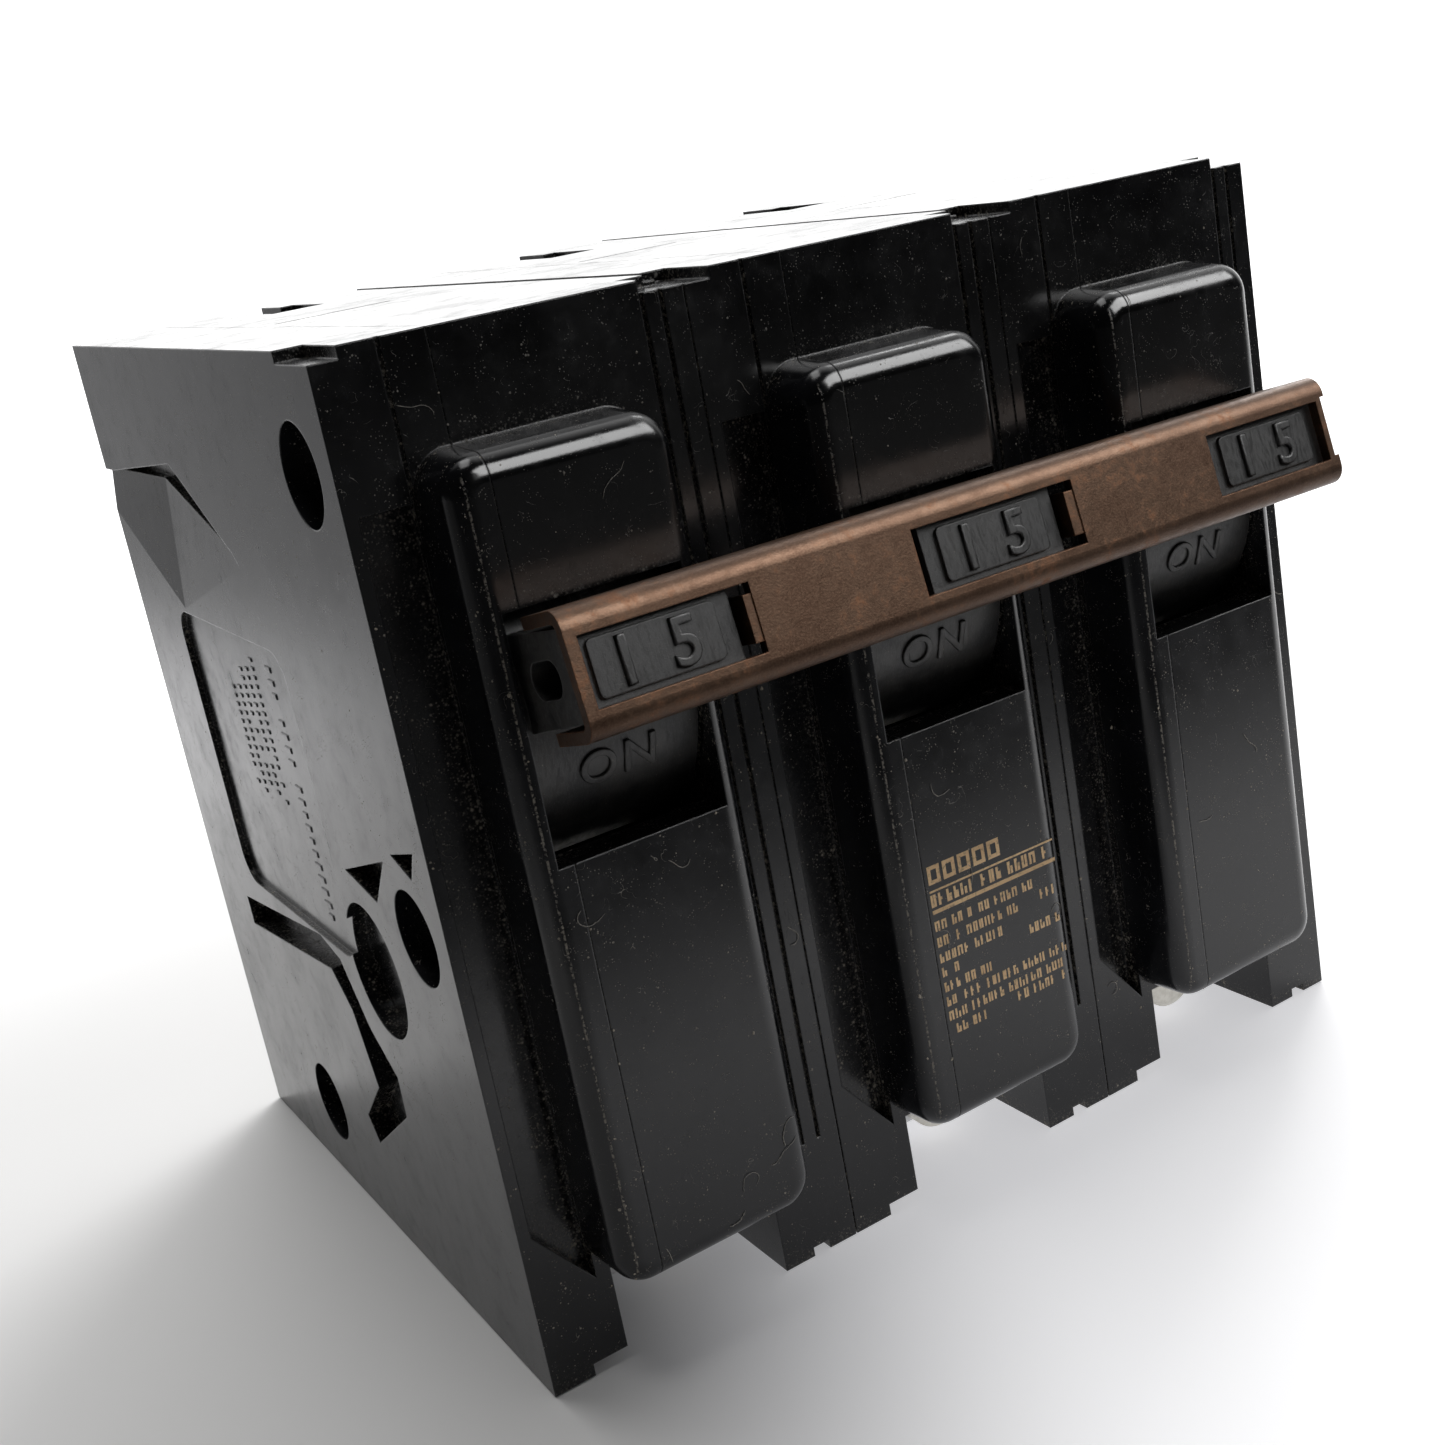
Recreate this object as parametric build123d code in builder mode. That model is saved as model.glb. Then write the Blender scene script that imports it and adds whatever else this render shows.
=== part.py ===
"""Three-pole plug-on circuit breaker with a common handle tie, in millimetres.

The breaker stands on the feet of its load end. +Z is up, which is the handle's ON direction,
-Y is the side with the handles and +X runs across the three poles.
Profiles are drawn as (depth behind the case front, height above the feet).
"""
import os
from math import cos, radians, sin

from build123d import *

# Whole breaker
pole_count = 3
pole_pitch = 25.4
pole_gap = 0.06
case_height = 71.6
case_depth = 60.4

# Case wall and the seam between the two halves of a pole
wall = 2.2
front_wall = 2.5
seam_x = 7.64
cavity_floor = 14.0
cavity_top = case_height - 2.5
cavity_back = case_depth - 2.5

# Raised bezel around the handle
bezel_left = 4.6
bezel_right = 20.5
bezel_low = 7.4
bezel_high = 64.4
bezel_rise = 5.0
bezel_skin = 2.5
recess_depth = 1.5
opening_left = 6.5
opening_right = 18.9
opening_low = 38.0
opening_high = 54.6

# Load end: feet, terminal chamber and the hook pocket for the panel's rail
notch_left = 5.9
notch_right = 19.1
notch_high = 7.2
chamber_depth = 20.2
chamber_high = 13.0
hook_left = 3.0
hook_right = 22.4
hook_low = 3.8
hook_high = 8.8
hook_depth = 7.0

# Side face: long rivets (depth, height) and their counterbores
upper_rivet = (6.0, 63.9)
front_rivet = (5.7, 32.7)
rear_rivet = (40.4, 7.2)
rivet_radius = 1.5
rivet_hole_radius = 1.56
rivet_head_radius = 2.7
counterbore_radius = 3.45
counterbore_depth = 4.4
post_radius = 4.1
dish_centre = (17.0, 26.8)
dish_radius = 5.2

# Handle
pivot = (8.0, 47.0)
on_angle = 13.0
drum_radius = 12.0
drum_left = 6.7
drum_right = 18.7
drum_chord = 4.0
paddle_left = 7.2
paddle_right = 18.2
paddle_reach = 20.3
paddle_half = 3.0
trunnion_radius = 2.0
running_gap = 0.05

# Steel tie over the three handles
tie_left = 6.9
tie_right = 69.6
tie_reach = 21.3
tie_back = 15.9
tie_half = 4.0
tie_sheet = 0.8
tie_bend = 1.3

# Moving contact, fixed contact and plug-on jaw
arm_pivot = (22.0, 33.0)
arm_left = 11.5
arm_right = 13.9
arm_pin_radius = 1.5
contact_height = 59.2
contact_plane = 40.2
contact_radius = 2.6
jaw_left = 9.6
jaw_right = 15.8
jaw_low = 52.4
jaw_high = 66.0
jaw_sheet = 1.1
jaw_slot_left = 8.9
jaw_slot_right = 16.5

# Trip mechanism
cradle_pivot = (17.0, 62.5)
cradle_left = 18.2
cradle_right = 20.2
latch_plane = 43.0
armature_pivot = (44.4, 43.0)
armature_pin_radius = 1.0
trip_bar_centre = (39.4, 41.5)
trip_bar_radius = 1.6
spring_x = 16.05
spring_low = (24.5, 38.0)
spring_high = (21.5, 54.0)
peg_radius = 0.6

# Load circuit
bimetal_plane = 49.4
strip_left = 8.0
strip_right = 16.0
strip_sheet = 1.15
lug_front = 7.4
lug_back = 18.0
lug_low = 1.6
lug_high = 10.8
lug_left = 7.2
lug_right = 18.0
wire_radius = 3.2
wire_depth = 13.8
screw_radius = 2.4
screw_height = 4.1
screw_head_radius = 2.9
screw_head_front = 5.2
pad_back = 10.55
pad_thickness = 1.2

# The tie's lower bend is the frontmost point, so it fixes the middle of the whole depth
tie_front = (
    pivot[0] - (tie_reach - tie_bend) * cos(radians(on_angle))
    - (tie_half - tie_bend) * sin(radians(on_angle)) - tie_bend
)
case_front = -(tie_front + case_depth) / 2

mid_x = (drum_left + drum_right) / 2
handle_out = (0, -cos(radians(on_angle)), sin(radians(on_angle)))
pivot_y = case_front + pivot[0]
case_left = -pole_pitch * pole_count / 2

os.makedirs("parts", exist_ok=True)


def pole_x(pole):
    """Left face of a pole, counted from 0."""
    return case_left + pole * pole_pitch


def side_plane(x):
    """Drawing plane facing +X whose axes are depth behind the case front and height."""
    return Plane(origin=(x, case_front, 0), x_dir=(0, 1, 0), z_dir=(1, 0, 0))


def front_plane(depth):
    """Drawing plane facing the front whose axes are X and height."""
    return Plane(origin=(0, case_front + depth, 0), x_dir=(1, 0, 0), z_dir=(0, -1, 0))


def handle_plane(x):
    """Drawing plane through the handle's pivot facing -X: reach from the pivot, then up."""
    return Plane(origin=(x, pivot_y, pivot[1]), x_dir=handle_out, z_dir=(-1, 0, 0))


def tie_plane(reach):
    """Drawing plane across the end of the handles, facing outwards."""
    along = Plane(origin=(0, pivot_y, pivot[1]), x_dir=(1, 0, 0), z_dir=handle_out)
    return along.offset(reach)


def box_between(x, y, z, mode=Mode.ADD):
    """Block given by its X, depth and height limits."""
    centre = ((x[0] + x[1]) / 2, case_front + (y[0] + y[1]) / 2, (z[0] + z[1]) / 2)
    with Locations(centre):
        Box(x[1] - x[0], y[1] - y[0], z[1] - z[0], mode=mode)


def rod_between(x, centre, radius, mode=Mode.ADD):
    """Round rod along X given by its ends, its (depth, height) and its radius."""
    with BuildSketch(side_plane(x[0])) as end:
        with Locations(centre):
            Circle(radius)
    extrude(end.sketch, amount=x[1] - x[0], mode=mode)


def prism_between(x, outline, mode=Mode.ADD):
    """Plate across X given by its ends and its closed (depth, height) outline."""
    with BuildSketch(side_plane(x[0])) as side:
        with BuildLine():
            Polyline(*outline, close=True)
        make_face()
    extrude(side.sketch, amount=x[1] - x[0], mode=mode)


def write_piece(piece, name, x):
    """Put a pole's piece at its place across the breaker and write it."""
    with BuildPart() as placed:
        with Locations((x, 0, 0)):
            add(piece)
    placed.part.label = name
    export_step(placed.part, f"parts/{name}.step")


# ---------------------------------------------------------------- case of one pole

def outer_body():
    """Outside of one pole: block, load end and bezel."""
    case_right = pole_pitch - pole_gap
    box_between((pole_gap, case_right), (0, case_depth), (0, case_height))
    box_between((hook_left, hook_right), (case_depth - hook_depth, case_depth + 1),
                (hook_low, hook_high), mode=Mode.SUBTRACT)
    # recess beside the bezel, cut off slantwise at its lower end
    with BuildSketch(front_plane(recess_depth)) as recess:
        with BuildLine():
            Polyline((1.0, 12.0), (bezel_left + 0.2, 7.0), (bezel_left + 0.2, 61.5), (1.0, 61.5), close=True)
        make_face()
    extrude(recess.sketch, amount=recess_depth + 1, mode=Mode.SUBTRACT)
    # two fine grooves on the other flank, and one above the recess
    for groove_x in (22.1, 23.5):
        box_between((groove_x, groove_x + 0.35), (-1, 0.5), (9.0, case_height + 1), mode=Mode.SUBTRACT)
    box_between((4.4, 4.7), (-1, 0.3), (61.0, case_height + 1), mode=Mode.SUBTRACT)
    # notches in the upper front corners
    box_between((-1, 2.0), (-1, 5.9), (case_height - 0.8, case_height + 1), mode=Mode.SUBTRACT)
    box_between((22.4, 26), (-1, 3.6), (case_height - 0.8, case_height + 1), mode=Mode.SUBTRACT)
    # step along the right edge of the top, and the sunk end over the plug-on jaw
    box_between((24.5, 26), (3, case_depth + 1), (case_height - 0.45, case_height + 1), mode=Mode.SUBTRACT)
    box_between((13.2, 17.6), (46.5, 55), (case_height - 1.3, case_height + 1), mode=Mode.SUBTRACT)
    # small steps in the ends of the feet
    box_between((3.2, notch_left + 0.1), (-1, 4.5), (-1, 0.9), mode=Mode.SUBTRACT)
    box_between((21.6, 23.0), (-1, 3.0), (-1, 0.7), mode=Mode.SUBTRACT)


def bezel():
    """Raised bezel with drafted sides and rounded edges."""
    mid = ((bezel_left + bezel_right) / 2, (bezel_low + bezel_high) / 2)
    with BuildSketch(front_plane(0.4)) as base:
        with Locations(mid):
            RectangleRounded(bezel_right - bezel_left, bezel_high - bezel_low, 2.6)
    extrude(base.sketch, amount=bezel_rise + 0.4, taper=3.5)


def side_details():
    """Moulded details of the left side face."""
    add(pocket.part, mode=Mode.SUBTRACT)
    # shallow field for the marking
    with BuildSketch(side_plane(pole_gap)) as field:
        with Locations((34.8, 38.0)):
            RectangleRounded(27.0, 24.0, 2.5)
    extrude(field.sketch, amount=0.45, mode=Mode.SUBTRACT)
    # bent groove around the lower rear plateau
    groove = [
        (51.0, 23.4), (30.0, 25.9), (26.0, 25.0), (22.6, 20.4), (18.6, 17.6), (18.8, 14.2),
        (28.2, 8.2), (29.6, 10.2), (24.4, 14.6), (26.2, 20.6), (29.2, 23.2), (51.0, 20.8),
    ]
    prism_between((pole_gap - 0.1, 1.7), groove, mode=Mode.SUBTRACT)
    # small corners left open between the panel's edge and the round bosses
    for corner in ([(18.4, 34.4), (9.0, 37.4), (12.6, 33.4)], [(7.0, 38.4), (2.4, 39.6), (3.8, 37.4)]):
        prism_between((pole_gap - 0.1, 1.4), corner, mode=Mode.SUBTRACT)
    # round dish
    rod_between((pole_gap - 0.1, 1.5), dish_centre, dish_radius, mode=Mode.SUBTRACT)


def cavity():
    """Room for the mechanism, the handle, the terminal and the jaw."""
    inside = (wall, pole_pitch - wall)
    box_between(inside, (front_wall, cavity_back), (cavity_floor, cavity_top), mode=Mode.SUBTRACT)
    # the handle's drum reaches into the bezel
    drum_room = (drum_left - 0.3, drum_right + 0.3)
    box_between(drum_room, (-bezel_skin, front_wall + 1), (33.6, 60.4), mode=Mode.SUBTRACT)
    box_between((opening_left, opening_right), (-bezel_rise - 1, 0), (opening_low, opening_high),
                mode=Mode.SUBTRACT)
    # terminal chamber, open to the front and to below
    box_between((notch_left, notch_right), (-1, 3), (-1, notch_high), mode=Mode.SUBTRACT)
    box_between((notch_left, notch_right), (2.4, chamber_depth), (-1, chamber_high),
                mode=Mode.SUBTRACT)
    box_between((strip_left - 0.1, strip_right + 0.1), (lug_back - 0.05, lug_back + strip_sheet + 0.2),
                (chamber_high - 1, cavity_floor + 1), mode=Mode.SUBTRACT)
    # slot for the panel's stab, open to the back, and a notch in the top above it
    box_between((jaw_slot_left, jaw_slot_right), (cavity_back - 1, case_depth + 1), (50.5, 67.6),
                mode=Mode.SUBTRACT)
    box_between((12.9, 16.5), (54.5, case_depth + 1), (67.0, case_height + 1), mode=Mode.SUBTRACT)
    # line across the top where the arc chamber begins
    box_between((8.7, 17.8), (31.8, 32.3), (case_height - 0.4, case_height + 1), mode=Mode.SUBTRACT)


def posts_and_bosses():
    """Rivet posts, bearing rings and pin seats that stand inside the cavity."""
    inner_left = wall - 0.2
    inner_right = pole_pitch - wall + 0.2
    rod_between((inner_left, inner_right), upper_rivet, post_radius)
    for x in ((inner_left, 6.2), (19.2, inner_right)):
        rod_between(x, front_rivet, post_radius)
    for x in ((inner_left, drum_left - 0.6), (drum_right + 0.6, inner_right)):
        rod_between(x, pivot, trunnion_radius + 2.0)
    # walls that hold the jaw plate from both sides
    jaw_seat = [(41.6, 51.0), (44.4, 51.0), (44.4, cavity_top + 0.2), (41.6, cavity_top + 0.2)]
    for x in ((inner_left, jaw_left - 0.1), (jaw_right + 0.1, inner_right)):
        prism_between(x, jaw_seat)
    # ribs that hold the magnet yoke
    yoke_rib = [(51.0, 27.0), (cavity_back + 0.2, 27.0), (cavity_back + 0.2, 39.0), (51.0, 39.0)]
    for x in ((inner_left, 6.5), (17.6, inner_right)):
        prism_between(x, yoke_rib)


def bores():
    """Rivet holes with their counterbores, bearings, pin holes and the adjusting hole."""
    across = (-1, pole_pitch + 1)
    for centre in (upper_rivet, front_rivet, rear_rivet):
        rod_between(across, centre, rivet_hole_radius, mode=Mode.SUBTRACT)
        rod_between((-1, counterbore_depth), centre, counterbore_radius, mode=Mode.SUBTRACT)
        rod_between((pole_pitch - counterbore_depth, pole_pitch + 1), centre, counterbore_radius,
                    mode=Mode.SUBTRACT)
    rod_between((drum_left - 3.8, drum_right + 3.8), pivot, trunnion_radius + running_gap,
                mode=Mode.SUBTRACT)
    rod_between((1.1, 24.3), arm_pivot, arm_pin_radius + 0.03, mode=Mode.SUBTRACT)
    rod_between((1.1, 24.3), armature_pivot, armature_pin_radius + 0.03, mode=Mode.SUBTRACT)
    rod_between((cradle_left - 1, 24.3), cradle_pivot, arm_pin_radius + 0.03, mode=Mode.SUBTRACT)
    for radius, depth in ((1.55, 5.0), (2.6, 2.2)):
        with BuildSketch(front_plane(case_depth + 1)) as adjusting_hole:
            with Locations((mid_x, 20.0)):
                Circle(radius)
        extrude(adjusting_hole.sketch, amount=depth, mode=Mode.SUBTRACT)


def trip_bar_holes(pole):
    """The trip bar runs through every wall but the two outer ones."""
    left = 1.0 if pole == 0 else -1
    right = pole_pitch - 1.0 if pole == pole_count - 1 else pole_pitch + 1
    rod_between((left, right), trip_bar_centre, trip_bar_radius + 0.06, mode=Mode.SUBTRACT)


with BuildPart() as bezel_block:
    bezel()
    fillet(bezel_block.faces().sort_by(Axis.Y)[0].edges(), 1.7)

with BuildPart() as pocket:
    # pocket at the upper rear of the side: two ramps that meet in a valley under its upper edge
    pocket_outline = [(61, 61.0), (46.3, 61.0), (27.0, 57.0), (25.4, 55.6), (45.2, 50.2), (61, 50.2)]
    prism_between((pole_gap - 0.1, pole_gap + 1.7), pocket_outline)
    valley_high = Vector(pole_gap + 1.4, case_front + 46.3, 61.0)
    valley_low = Vector(pole_gap, case_front + 45.2, 50.4)
    front_tip = Vector(pole_gap, case_front + 26.0, 55.8)
    back_edge = Vector(pole_gap + 0.5, case_front + 60.4, 61.0)
    for ramp in ((valley_low - front_tip).cross(front_tip - valley_high),
                 (valley_high - valley_low).cross(back_edge - valley_low)):
        split(bisect_by=Plane(origin=valley_high, z_dir=ramp), keep=Keep.TOP)
    # deep wedge between the ramps and the upper edge
    wedge = [(57.6, 61.0), (38.5, 62.7), (36.7, 61.9), (26.8, 56.8), (46.3, 60.8)]
    prism_between((pole_gap - 0.1, pole_gap + 1.85), wedge)

with BuildPart() as pole_case:
    outer_body()
    add(bezel_block.part)
    cavity()
    posts_and_bosses()
    bores()
    side_details()

for pole in range(pole_count):
    with BuildPart() as case_cover:
        add(pole_case.part)
        trip_bar_holes(pole)
        split(bisect_by=Plane.YZ.offset(seam_x - 0.03), keep=Keep.BOTTOM)
    with BuildPart() as case_base:
        add(pole_case.part)
        trip_bar_holes(pole)
        split(bisect_by=Plane.YZ.offset(seam_x + 0.03), keep=Keep.TOP)
    write_piece(case_cover.part, f"case_cover_{pole + 1}", pole_x(pole))
    write_piece(case_base.part, f"case_base_{pole + 1}", pole_x(pole))

# ---------------------------------------------------------------- handle of one pole

with BuildPart() as handle:
    with BuildSketch(handle_plane(drum_right)):
        Circle(drum_radius)
        with Locations((-drum_chord - drum_radius, 0)):
            Rectangle(2 * drum_radius, 3 * drum_radius, mode=Mode.SUBTRACT)
    extrude(amount=drum_right - drum_left)
    # the drum is hollow behind its curved face
    with BuildSketch(handle_plane(drum_right - 2.6)):
        Circle(drum_radius - 2.6)
        with Locations((4.6, 0)):
            Rectangle(5.2, 3 * drum_radius, mode=Mode.SUBTRACT)
        with Locations((drum_radius + 7, 0)):
            Rectangle(2 * drum_radius, 3 * drum_radius, mode=Mode.SUBTRACT)
    extrude(amount=drum_right - drum_left - 5.2, mode=Mode.SUBTRACT)
    # finger paddle, slightly thinner at its end
    with BuildSketch(handle_plane(paddle_right)):
        with BuildLine():
            Polyline(
                (drum_radius - 2, -paddle_half - 0.2), (paddle_reach, -paddle_half + 0.15),
                (paddle_reach, paddle_half - 0.15), (drum_radius - 2, paddle_half + 0.2), close=True,
            )
        make_face()
    extrude(amount=paddle_right - paddle_left)
    # raised pad for the rating, inside the tie's window
    with BuildSketch(tie_plane(paddle_reach - 0.2)):
        with Locations((mid_x, 0)):
            RectangleRounded(8.6, 3.6, 0.4)
    extrude(amount=0.5)
    # blind oval in the left end of the paddle
    with BuildSketch(handle_plane(paddle_left + 2.4)):
        with Locations((16.2, 0)):
            SlotOverall(4.4, 2.4)
    extrude(amount=4, mode=Mode.SUBTRACT)
    rod_between((drum_left - 3.4, drum_left + 1), pivot, trunnion_radius)
    rod_between((drum_right - 1, drum_right + 3.4), pivot, trunnion_radius)

# ---------------------------------------------------------------- handle tie

with BuildPart() as handle_tie:
    with BuildSketch(handle_plane(case_left + tie_right)) as tie_profile:
        with BuildLine():
            Polyline(
                (tie_back, tie_half), (tie_reach, tie_half), (tie_reach, -tie_half),
                (tie_back, -tie_half), (tie_back, -tie_half + tie_sheet),
                (tie_reach - tie_sheet, -tie_half + tie_sheet),
                (tie_reach - tie_sheet, tie_half - tie_sheet), (tie_back, tie_half - tie_sheet),
                close=True,
            )
        make_face()
        outer_corners = tie_profile.vertices().filter_by_position(Axis.X, tie_reach - 0.1, tie_reach + 0.1)
        fillet(outer_corners, tie_bend)
        inner_corners = tie_profile.vertices().filter_by_position(
            Axis.X, tie_reach - tie_sheet - 0.1, tie_reach - tie_sheet + 0.1)
        inner_corners = inner_corners.filter_by_position(Axis.Y, -3.3, 3.3)
        fillet(inner_corners, tie_bend - tie_sheet)
    extrude(amount=tie_right - tie_left)
    # windows over the ratings: (left, right) from the middle of each handle
    windows = ((-5.0, 6.6), (-6.6, 6.8), (-6.0, 5.2))
    for pole, (left, right) in enumerate(windows):
        centre = pole_x(pole) + mid_x + (left + right) / 2
        with BuildSketch(tie_plane(tie_reach - 2)):
            with Locations((centre, 0)):
                Rectangle(right - left, 4.4)
        extrude(amount=3, mode=Mode.SUBTRACT)
    # tongues bent inwards beside two of the handles
    for pole in range(pole_count - 1):
        tongue_x = pole_x(pole) + paddle_right + 0.5
        with BuildSketch(tie_plane(tie_reach - 3.4)):
            with Locations((tongue_x + tie_sheet / 2, 0)):
                Rectangle(tie_sheet, 3.0)
        extrude(amount=3.3)
        with BuildSketch(tie_plane(tie_reach - tie_sheet)):
            with Locations((tongue_x + 0.65, 0)):
                Rectangle(1.3, 3.0)
        extrude(amount=tie_sheet - 0.1)
    # shallow step in the right end
    with BuildSketch(tie_plane(tie_back - 1)):
        with Locations((case_left + tie_right, 0.2)):
            Rectangle(0.8, 4.4)
    extrude(amount=8, mode=Mode.SUBTRACT)

handle_tie.part.label = "handle_tie"
export_step(handle_tie.part, "parts/handle_tie.step")

# ---------------------------------------------------------------- contacts and plug-on jaw

with BuildPart() as contact_arm:
    blade = [
        (19.0, 31.4), (21.0, 29.8), (24.0, 30.4), (28.4, 39.0), (34.4, 50.0), (38.3, 55.6),
        (38.3, 62.0), (33.0, 62.0), (29.6, 51.4), (23.2, 41.4), (19.2, 35.6),
    ]
    prism_between((arm_left, arm_right), blade)
    rod_between((arm_left - 1, arm_right + 1), arm_pivot, 2.6)
    rod_between((arm_right - 0.2, 17.2), spring_low, peg_radius)
    rod_between((arm_left - 2, arm_right + 2), arm_pivot, arm_pin_radius + running_gap,
                mode=Mode.SUBTRACT)

with BuildPart() as moving_contact:
    with BuildSketch(front_plane(contact_plane - 0.05)) as contact_face:
        with Locations(((arm_left + arm_right) / 2, contact_height)):
            Circle(contact_radius)
    extrude(amount=contact_plane - 0.05 - 38.3)
    chamfer(moving_contact.faces().sort_by(Axis.Y)[-1].edges(), 0.4)

with BuildPart() as fixed_contact:
    with BuildSketch(front_plane(contact_plane + 1.8)):
        with Locations(((arm_left + arm_right) / 2, contact_height)):
            Circle(contact_radius)
    extrude(amount=1.8)
    chamfer(fixed_contact.faces().sort_by(Axis.Y)[0].edges(), 0.4)

with BuildPart() as line_jaw:
    plate_front = contact_plane + 1.8
    box_between((jaw_left, jaw_right), (plate_front, plate_front + jaw_sheet), (jaw_low, jaw_high))
    # two legs that close towards the mouth and flare open again
    leg = [
        (0, plate_front + 0.2), (0, 51.0), (0.9, 55.2), (0.2, 58.4), (0.2 + jaw_sheet, 58.4),
        (0.9 + jaw_sheet, 55.2), (jaw_sheet, 51.0), (jaw_sheet, plate_front + 0.2),
    ]
    for sign, leg_x in ((1, jaw_left + 0.4), (-1, jaw_right - 0.4)):
        with BuildSketch(Plane.XY.offset(jaw_low)):
            with BuildLine():
                Polyline(*[(leg_x + sign * x, case_front + y) for x, y in leg], close=True)
            make_face()
        extrude(amount=jaw_high - jaw_low)

with BuildPart() as jaw_spring:
    # steel clip that presses the legs together from outside
    clip_outer = (jaw_left - 0.55, jaw_right + 0.55)
    box_between(clip_outer, (46.0, 50.0), (jaw_low - 0.9, jaw_high + 0.9))
    box_between((jaw_left + 0.35, jaw_right - 0.35), (45.0, 51.0), (jaw_low - 0.05, jaw_high + 0.05),
                mode=Mode.SUBTRACT)
    box_between((jaw_left + 0.35, jaw_right - 0.35), (45.0, 51.0), (jaw_low - 2, jaw_low),
                mode=Mode.SUBTRACT)

with BuildPart() as arc_plates:
    for plate_y in (25.2, 28.2, 31.2, 34.2):
        box_between((wall + 0.3, pole_pitch - wall - 0.3), (plate_y, plate_y + 1.0), (57.4, 68.9))
        box_between((9.7, 15.7), (plate_y - 0.5, plate_y + 1.5), (56, 66.6), mode=Mode.SUBTRACT)

# ---------------------------------------------------------------- trip mechanism

with BuildPart() as cradle:
    lever = [
        (13.9, 63.0), (16.2, 59.6), (24.0, 46.6), (36.6, 24.4), (38.0, 22.2), (42.5, 22.2),
        (42.5, 24.6), (40.4, 25.6), (28.4, 47.6), (20.2, 62.2), (18.6, 65.4), (15.4, 65.4),
    ]
    prism_between((cradle_left, cradle_right), lever)
    rod_between((cradle_left - 2.9, cradle_left + 0.2), spring_high, peg_radius)
    rod_between((cradle_left - 1, cradle_right + 1), cradle_pivot, arm_pin_radius + running_gap,
                mode=Mode.SUBTRACT)

with BuildPart() as armature:
    box_between((7.0, 17.4), (latch_plane, latch_plane + 1.2), (19.0, 48.0))
    box_between((17.0, 21.4), (latch_plane, latch_plane + 1.2), (19.0, 30.0))
    rod_between((7.0, 17.4), armature_pivot, 2.1)
    rod_between((6, 18.4), armature_pivot, armature_pin_radius + running_gap, mode=Mode.SUBTRACT)

# extension spring: one wire that runs from a ring, through the coil, to the other ring
spring_reach = Vector(0, spring_high[0] - spring_low[0], spring_high[1] - spring_low[1])
spring_foot = Vector(spring_x, case_front + spring_low[0], spring_low[1])
spring_axis = spring_reach.normalized()
spring_side = spring_axis.cross(Vector(1, 0, 0))
spring_half = spring_reach.length / 2
hook_radius = 1.15
coil_radius = 1.45
spring_wire = 0.32
coil_half_turns = 5
lead_turn = 100
lead_low = 0.3
lead_high = hook_radius + 1.0
coil_rise = (spring_half - lead_high) / (coil_half_turns - lead_turn / 360)


def wire_point(radius, turn, height):
    """Point on the spring's lower half, measured from its lower ring's centre."""
    sideways = spring_side * radius * cos(radians(turn))
    return Vector(-radius * sin(radians(turn)), 0, 0) + sideways + spring_axis * height


lower_wire = []
for turn in range(370, 89, -20):
    ring_out = spring_side * hook_radius * sin(radians(turn))
    lower_wire.append(ring_out + spring_axis * hook_radius * cos(radians(turn)))
for step in (0.2, 0.4, 0.6, 0.8, 1.0):
    lead_radius = hook_radius + (coil_radius - hook_radius) * step
    lead_height = lead_low + (lead_high - lead_low) * step
    lower_wire.append(wire_point(lead_radius, lead_turn * step * step, lead_height))
for turn in range(lead_turn + 30, 360 * coil_half_turns, 30):
    lower_wire.append(wire_point(coil_radius, turn, lead_high + coil_rise * (turn - lead_turn) / 360))
# the upper half is the lower one turned half round about the coil's middle
upper_wire = []
for point in reversed(lower_wire):
    past_middle = 2 * spring_half - point.dot(spring_axis)
    sideways = spring_side * point.dot(spring_side)
    upper_wire.append(Vector(-point.X, 0, 0) + sideways + spring_axis * past_middle)
middle_point = wire_point(coil_radius, 0, spring_half)

with BuildPart() as toggle_spring:
    with BuildLine() as spring_line:
        Spline(*[spring_foot + point for point in (*lower_wire, middle_point, *upper_wire)])
    spring_path = spring_line.wires()[0]
    with BuildSketch(Plane(origin=spring_path @ 0, z_dir=spring_path % 0)):
        Circle(spring_wire)
    sweep(path=spring_path, is_frenet=True)

# ---------------------------------------------------------------- load circuit

with BuildPart() as bimetal:
    box_between((strip_left, strip_right), (bimetal_plane, bimetal_plane + strip_sheet), (16.4, 44.4))

with BuildPart() as magnet_yoke:
    box_between((6.6, 17.5), (51.3, 52.5), (27.1, 38.9))
    for side in ((6.6, 7.7), (16.4, 17.5)):
        box_between(side, (47.4, 52.5), (27.1, 38.9))

with BuildPart() as load_strap:
    strap_x = (strip_left, strip_right)
    box_between(strap_x, (lug_back, lug_back + strip_sheet), (2.0, 15.2))
    box_between(strap_x, (lug_back, 51.7), (15.2 - strip_sheet, 15.2))
    box_between(strap_x, (bimetal_plane + strip_sheet, 51.7), (15.0, 24.6))

with BuildPart() as flexible_braid:
    # stands off to the left of the armature on its way to the bimetal
    with BuildLine() as braid_path:
        FilletPolyline(
            (arm_left - 0.05, case_front + 25.0, 37.0), (8.2, case_front + 25.0, 37.0),
            (4.6, case_front + 29.0, 31.0), (4.6, case_front + 42.0, 28.0),
            (4.6, case_front + 48.0, 36.0), (4.6, case_front + 49.97, 42.4),
            (strip_left - 0.05, case_front + 49.97, 42.4), radius=1.3,
        )
    braid_centre = braid_path.wires()[0]
    with BuildSketch(Plane(origin=braid_centre @ 0, z_dir=braid_centre % 0)):
        Circle(1.0)
    sweep(path=braid_centre)

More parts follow.
